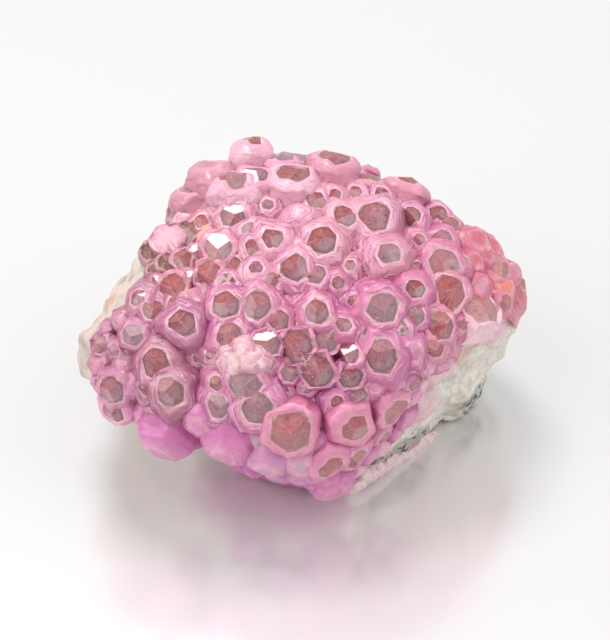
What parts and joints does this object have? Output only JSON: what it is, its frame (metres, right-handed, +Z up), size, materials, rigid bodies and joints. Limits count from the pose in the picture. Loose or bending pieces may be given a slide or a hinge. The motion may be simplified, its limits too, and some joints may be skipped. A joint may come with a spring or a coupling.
{
  "type": "cobaltoan calcite cluster",
  "caption": "Mineral specimen: a crust of stout pink calcite crystals with three-faced ends, grown over a broken white rock.",
  "frame": {"origin": "on the resting surface, under the middle of the specimen's bounding box", "axes": "+X along the specimen's longest side, from the bare left end to the reddish right end; +Z up; the crystal-covered side faces -Y and up"},
  "size_m": [0.0514, 0.0433, 0.0339],
  "materials": {
    "pink_calcite": "clear to milky pink crystal, bright flat ends, finely stepped sides",
    "host_rock": "broken greyish white carbonate rock, rough, with a few dark mineral grains"
  },
  "bodies": {
    "root": {"crystal_crust": "pink_calcite", "host_rock": "host_rock"}
  },
  "joints": []
}
